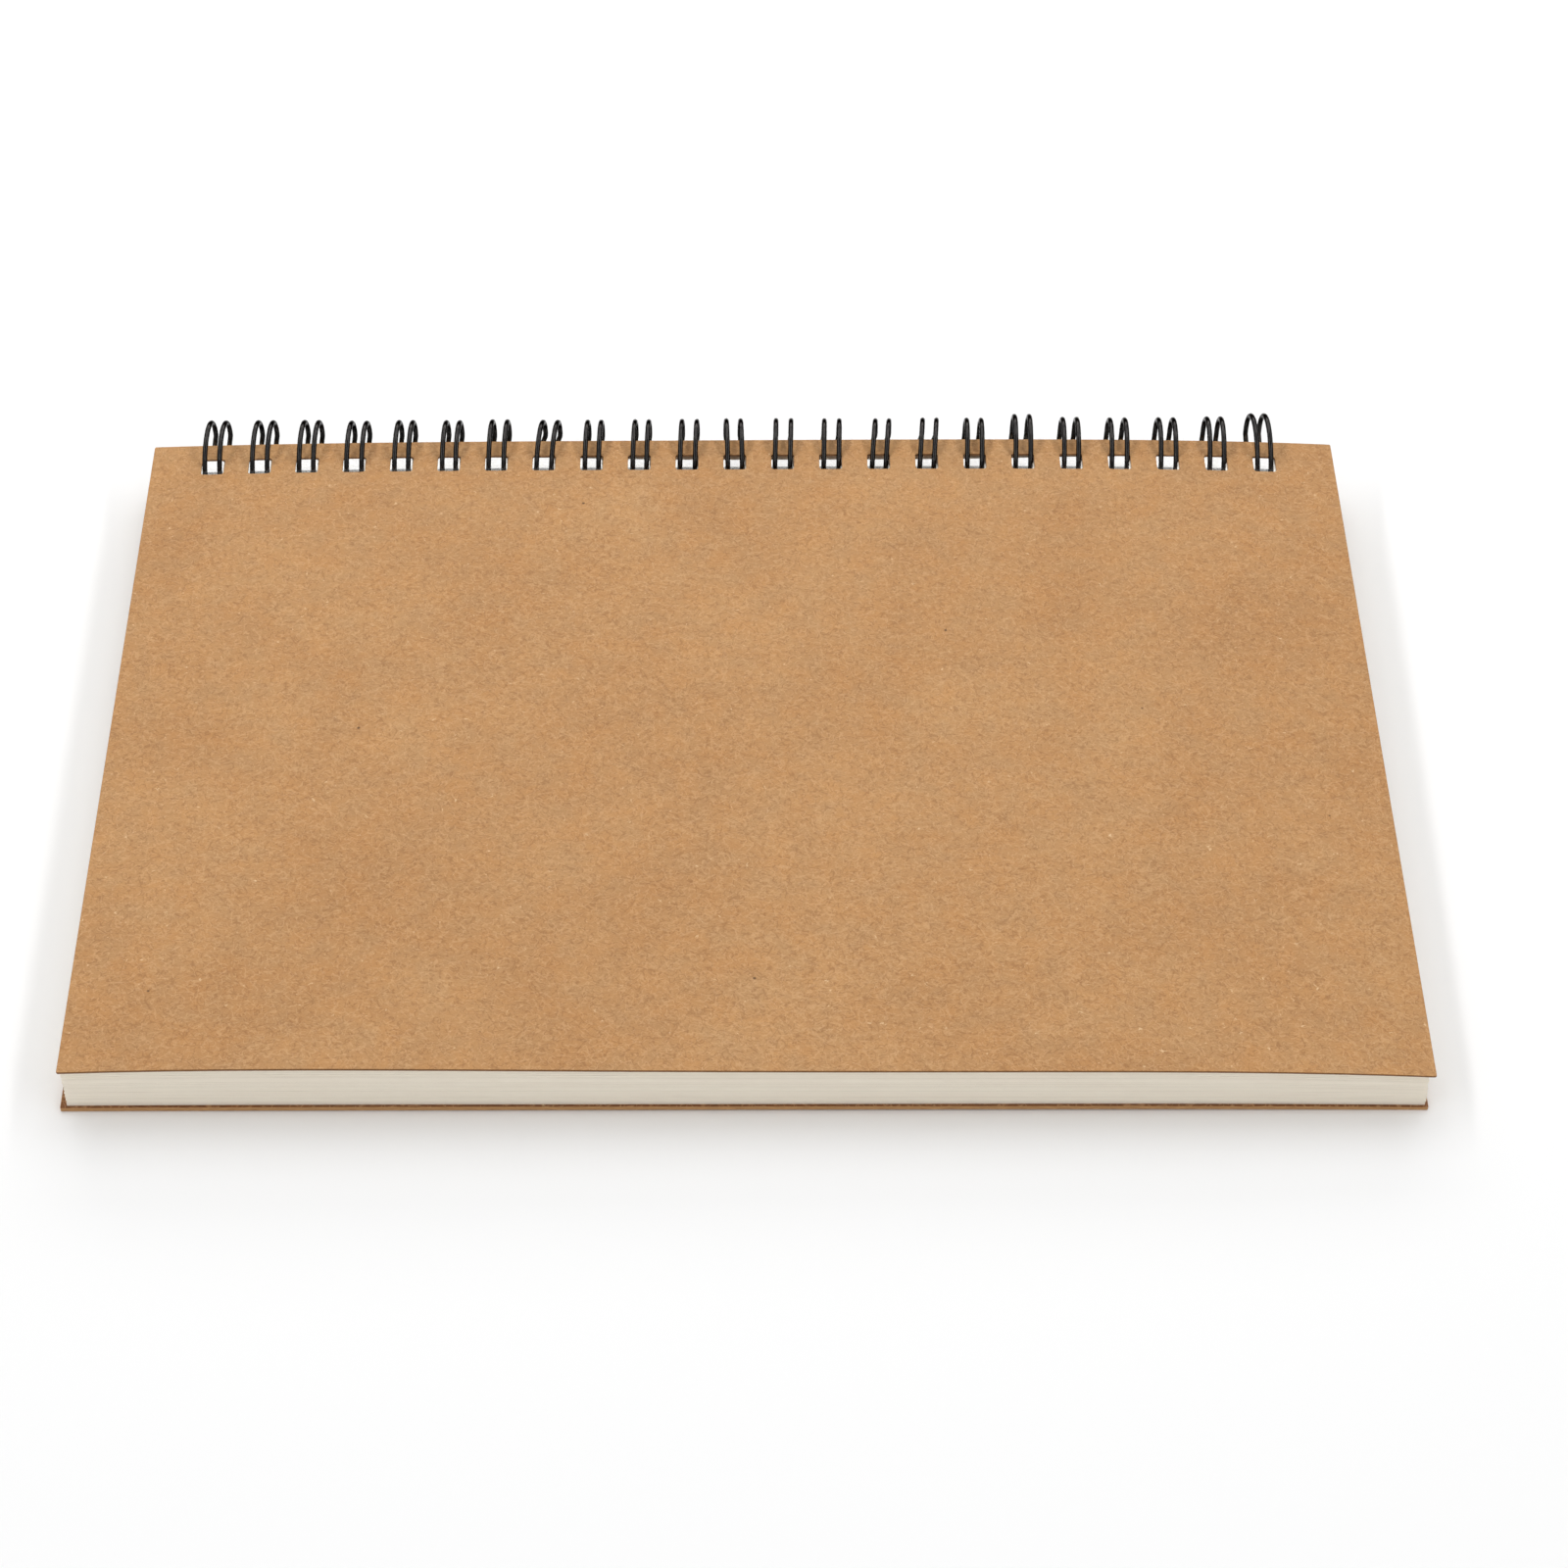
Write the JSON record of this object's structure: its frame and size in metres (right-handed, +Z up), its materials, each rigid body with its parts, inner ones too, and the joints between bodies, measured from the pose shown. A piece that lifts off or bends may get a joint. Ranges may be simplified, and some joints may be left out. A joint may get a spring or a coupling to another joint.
{
  "type": "sketchbook",
  "caption": "Landscape wire-bound sketchbook: kraft card cover, cream drawing sheets and a board back, held by a black twin-loop wire along the long top edge.",
  "frame": {"origin": "on the table, under the middle of the closed book's box: z = 0 is the lowest point of the wire loops", "axes": "+X along the bound edge, +Y from the free edge towards the wire, +Z up through the closed book"},
  "size_m": [0.21, 0.1554, 0.0147],
  "materials": {
    "cover_card": "matte",
    "back_board": "matte",
    "drawing_paper": "matte",
    "wire": "gloss"
  },
  "bodies": {
    "base": {"back_cover": "back_board", "wire_binding": "wire"},
    "leaf_40": {"leaf_40": "drawing_paper"},
    "leaf_39": {"leaf_39": "drawing_paper"},
    "leaf_38": {"leaf_38": "drawing_paper"},
    "leaf_37": {"leaf_37": "drawing_paper"},
    "leaf_36": {"leaf_36": "drawing_paper"},
    "leaf_35": {"leaf_35": "drawing_paper"},
    "leaf_34": {"leaf_34": "drawing_paper"},
    "leaf_33": {"leaf_33": "drawing_paper"},
    "leaf_32": {"leaf_32": "drawing_paper"},
    "leaf_31": {"leaf_31": "drawing_paper"},
    "leaf_30": {"leaf_30": "drawing_paper"},
    "leaf_29": {"leaf_29": "drawing_paper"},
    "leaf_28": {"leaf_28": "drawing_paper"},
    "leaf_27": {"leaf_27": "drawing_paper"},
    "leaf_26": {"leaf_26": "drawing_paper"},
    "leaf_25": {"leaf_25": "drawing_paper"},
    "leaf_24": {"leaf_24": "drawing_paper"},
    "leaf_23": {"leaf_23": "drawing_paper"},
    "leaf_22": {"leaf_22": "drawing_paper"},
    "leaf_21": {"leaf_21": "drawing_paper"},
    "leaf_20": {"leaf_20": "drawing_paper"},
    "leaf_19": {"leaf_19": "drawing_paper"},
    "leaf_18": {"leaf_18": "drawing_paper"},
    "leaf_17": {"leaf_17": "drawing_paper"},
    "leaf_16": {"leaf_16": "drawing_paper"},
    "leaf_15": {"leaf_15": "drawing_paper"},
    "leaf_14": {"leaf_14": "drawing_paper"},
    "leaf_13": {"leaf_13": "drawing_paper"},
    "leaf_12": {"leaf_12": "drawing_paper"},
    "leaf_11": {"leaf_11": "drawing_paper"},
    "leaf_10": {"leaf_10": "drawing_paper"},
    "leaf_09": {"leaf_09": "drawing_paper"},
    "leaf_08": {"leaf_08": "drawing_paper"},
    "leaf_07": {"leaf_07": "drawing_paper"},
    "leaf_06": {"leaf_06": "drawing_paper"},
    "leaf_05": {"leaf_05": "drawing_paper"},
    "leaf_04": {"leaf_04": "drawing_paper"},
    "leaf_03": {"leaf_03": "drawing_paper"},
    "leaf_02": {"leaf_02": "drawing_paper"},
    "leaf_01": {"leaf_01": "drawing_paper"},
    "front_cover": {"front_cover": "cover_card"}
  },
  "joints": [
    {"name": "turn_leaf_40", "type": "hinge", "parent": "base", "child": "leaf_40", "pos_m": [0, 0.07037, 0.00735], "axis": [-1, 0, 0], "range_deg": [0, 180]},
    {"name": "turn_leaf_39", "type": "hinge", "parent": "leaf_40", "child": "leaf_39", "pos_m": [0, 0.07037, 0.00735], "axis": [-1, 0, 0], "range_deg": [0, 180]},
    {"name": "turn_leaf_38", "type": "hinge", "parent": "leaf_39", "child": "leaf_38", "pos_m": [0, 0.07037, 0.00735], "axis": [-1, 0, 0], "range_deg": [0, 180]},
    {"name": "turn_leaf_37", "type": "hinge", "parent": "leaf_38", "child": "leaf_37", "pos_m": [0, 0.07037, 0.00735], "axis": [-1, 0, 0], "range_deg": [0, 180]},
    {"name": "turn_leaf_36", "type": "hinge", "parent": "leaf_37", "child": "leaf_36", "pos_m": [0, 0.07037, 0.00735], "axis": [-1, 0, 0], "range_deg": [0, 180]},
    {"name": "turn_leaf_35", "type": "hinge", "parent": "leaf_36", "child": "leaf_35", "pos_m": [0, 0.07037, 0.00735], "axis": [-1, 0, 0], "range_deg": [0, 180]},
    {"name": "turn_leaf_34", "type": "hinge", "parent": "leaf_35", "child": "leaf_34", "pos_m": [0, 0.07037, 0.00735], "axis": [-1, 0, 0], "range_deg": [0, 180]},
    {"name": "turn_leaf_33", "type": "hinge", "parent": "leaf_34", "child": "leaf_33", "pos_m": [0, 0.07037, 0.00735], "axis": [-1, 0, 0], "range_deg": [0, 180]},
    {"name": "turn_leaf_32", "type": "hinge", "parent": "leaf_33", "child": "leaf_32", "pos_m": [0, 0.07037, 0.00735], "axis": [-1, 0, 0], "range_deg": [0, 180]},
    {"name": "turn_leaf_31", "type": "hinge", "parent": "leaf_32", "child": "leaf_31", "pos_m": [0, 0.07037, 0.00735], "axis": [-1, 0, 0], "range_deg": [0, 180]},
    {"name": "turn_leaf_30", "type": "hinge", "parent": "leaf_31", "child": "leaf_30", "pos_m": [0, 0.07037, 0.00735], "axis": [-1, 0, 0], "range_deg": [0, 180]},
    {"name": "turn_leaf_29", "type": "hinge", "parent": "leaf_30", "child": "leaf_29", "pos_m": [0, 0.07037, 0.00735], "axis": [-1, 0, 0], "range_deg": [0, 180]},
    {"name": "turn_leaf_28", "type": "hinge", "parent": "leaf_29", "child": "leaf_28", "pos_m": [0, 0.07037, 0.00735], "axis": [-1, 0, 0], "range_deg": [0, 180]},
    {"name": "turn_leaf_27", "type": "hinge", "parent": "leaf_28", "child": "leaf_27", "pos_m": [0, 0.07037, 0.00735], "axis": [-1, 0, 0], "range_deg": [0, 180]},
    {"name": "turn_leaf_26", "type": "hinge", "parent": "leaf_27", "child": "leaf_26", "pos_m": [0, 0.07037, 0.00735], "axis": [-1, 0, 0], "range_deg": [0, 180]},
    {"name": "turn_leaf_25", "type": "hinge", "parent": "leaf_26", "child": "leaf_25", "pos_m": [0, 0.07037, 0.00735], "axis": [-1, 0, 0], "range_deg": [0, 180]},
    {"name": "turn_leaf_24", "type": "hinge", "parent": "leaf_25", "child": "leaf_24", "pos_m": [0, 0.07037, 0.00735], "axis": [-1, 0, 0], "range_deg": [0, 180]},
    {"name": "turn_leaf_23", "type": "hinge", "parent": "leaf_24", "child": "leaf_23", "pos_m": [0, 0.07037, 0.00735], "axis": [-1, 0, 0], "range_deg": [0, 180]},
    {"name": "turn_leaf_22", "type": "hinge", "parent": "leaf_23", "child": "leaf_22", "pos_m": [0, 0.07037, 0.00735], "axis": [-1, 0, 0], "range_deg": [0, 180]},
    {"name": "turn_leaf_21", "type": "hinge", "parent": "leaf_22", "child": "leaf_21", "pos_m": [0, 0.07037, 0.00735], "axis": [-1, 0, 0], "range_deg": [0, 180]},
    {"name": "turn_leaf_20", "type": "hinge", "parent": "leaf_21", "child": "leaf_20", "pos_m": [0, 0.07037, 0.00735], "axis": [-1, 0, 0], "range_deg": [0, 180]},
    {"name": "turn_leaf_19", "type": "hinge", "parent": "leaf_20", "child": "leaf_19", "pos_m": [0, 0.07037, 0.00735], "axis": [-1, 0, 0], "range_deg": [0, 180]},
    {"name": "turn_leaf_18", "type": "hinge", "parent": "leaf_19", "child": "leaf_18", "pos_m": [0, 0.07037, 0.00735], "axis": [-1, 0, 0], "range_deg": [0, 180]},
    {"name": "turn_leaf_17", "type": "hinge", "parent": "leaf_18", "child": "leaf_17", "pos_m": [0, 0.07037, 0.00735], "axis": [-1, 0, 0], "range_deg": [0, 180]},
    {"name": "turn_leaf_16", "type": "hinge", "parent": "leaf_17", "child": "leaf_16", "pos_m": [0, 0.07037, 0.00735], "axis": [-1, 0, 0], "range_deg": [0, 180]},
    {"name": "turn_leaf_15", "type": "hinge", "parent": "leaf_16", "child": "leaf_15", "pos_m": [0, 0.07037, 0.00735], "axis": [-1, 0, 0], "range_deg": [0, 180]},
    {"name": "turn_leaf_14", "type": "hinge", "parent": "leaf_15", "child": "leaf_14", "pos_m": [0, 0.07037, 0.00735], "axis": [-1, 0, 0], "range_deg": [0, 180]},
    {"name": "turn_leaf_13", "type": "hinge", "parent": "leaf_14", "child": "leaf_13", "pos_m": [0, 0.07037, 0.00735], "axis": [-1, 0, 0], "range_deg": [0, 180]},
    {"name": "turn_leaf_12", "type": "hinge", "parent": "leaf_13", "child": "leaf_12", "pos_m": [0, 0.07037, 0.00735], "axis": [-1, 0, 0], "range_deg": [0, 180]},
    {"name": "turn_leaf_11", "type": "hinge", "parent": "leaf_12", "child": "leaf_11", "pos_m": [0, 0.07037, 0.00735], "axis": [-1, 0, 0], "range_deg": [0, 180]},
    {"name": "turn_leaf_10", "type": "hinge", "parent": "leaf_11", "child": "leaf_10", "pos_m": [0, 0.07037, 0.00735], "axis": [-1, 0, 0], "range_deg": [0, 180]},
    {"name": "turn_leaf_09", "type": "hinge", "parent": "leaf_10", "child": "leaf_09", "pos_m": [0, 0.07037, 0.00735], "axis": [-1, 0, 0], "range_deg": [0, 180]},
    {"name": "turn_leaf_08", "type": "hinge", "parent": "leaf_09", "child": "leaf_08", "pos_m": [0, 0.07037, 0.00735], "axis": [-1, 0, 0], "range_deg": [0, 180]},
    {"name": "turn_leaf_07", "type": "hinge", "parent": "leaf_08", "child": "leaf_07", "pos_m": [0, 0.07037, 0.00735], "axis": [-1, 0, 0], "range_deg": [0, 180]},
    {"name": "turn_leaf_06", "type": "hinge", "parent": "leaf_07", "child": "leaf_06", "pos_m": [0, 0.07037, 0.00735], "axis": [-1, 0, 0], "range_deg": [0, 180]},
    {"name": "turn_leaf_05", "type": "hinge", "parent": "leaf_06", "child": "leaf_05", "pos_m": [0, 0.07037, 0.00735], "axis": [-1, 0, 0], "range_deg": [0, 180]},
    {"name": "turn_leaf_04", "type": "hinge", "parent": "leaf_05", "child": "leaf_04", "pos_m": [0, 0.07037, 0.00735], "axis": [-1, 0, 0], "range_deg": [0, 180]},
    {"name": "turn_leaf_03", "type": "hinge", "parent": "leaf_04", "child": "leaf_03", "pos_m": [0, 0.07037, 0.00735], "axis": [-1, 0, 0], "range_deg": [0, 180]},
    {"name": "turn_leaf_02", "type": "hinge", "parent": "leaf_03", "child": "leaf_02", "pos_m": [0, 0.07037, 0.00735], "axis": [-1, 0, 0], "range_deg": [0, 180]},
    {"name": "turn_leaf_01", "type": "hinge", "parent": "leaf_02", "child": "leaf_01", "pos_m": [0, 0.07037, 0.00735], "axis": [-1, 0, 0], "range_deg": [0, 180]},
    {"name": "turn_front_cover", "type": "hinge", "parent": "leaf_01", "child": "front_cover", "pos_m": [0, 0.07037, 0.00735], "axis": [-1, 0, 0], "range_deg": [0, 180]}
  ]
}
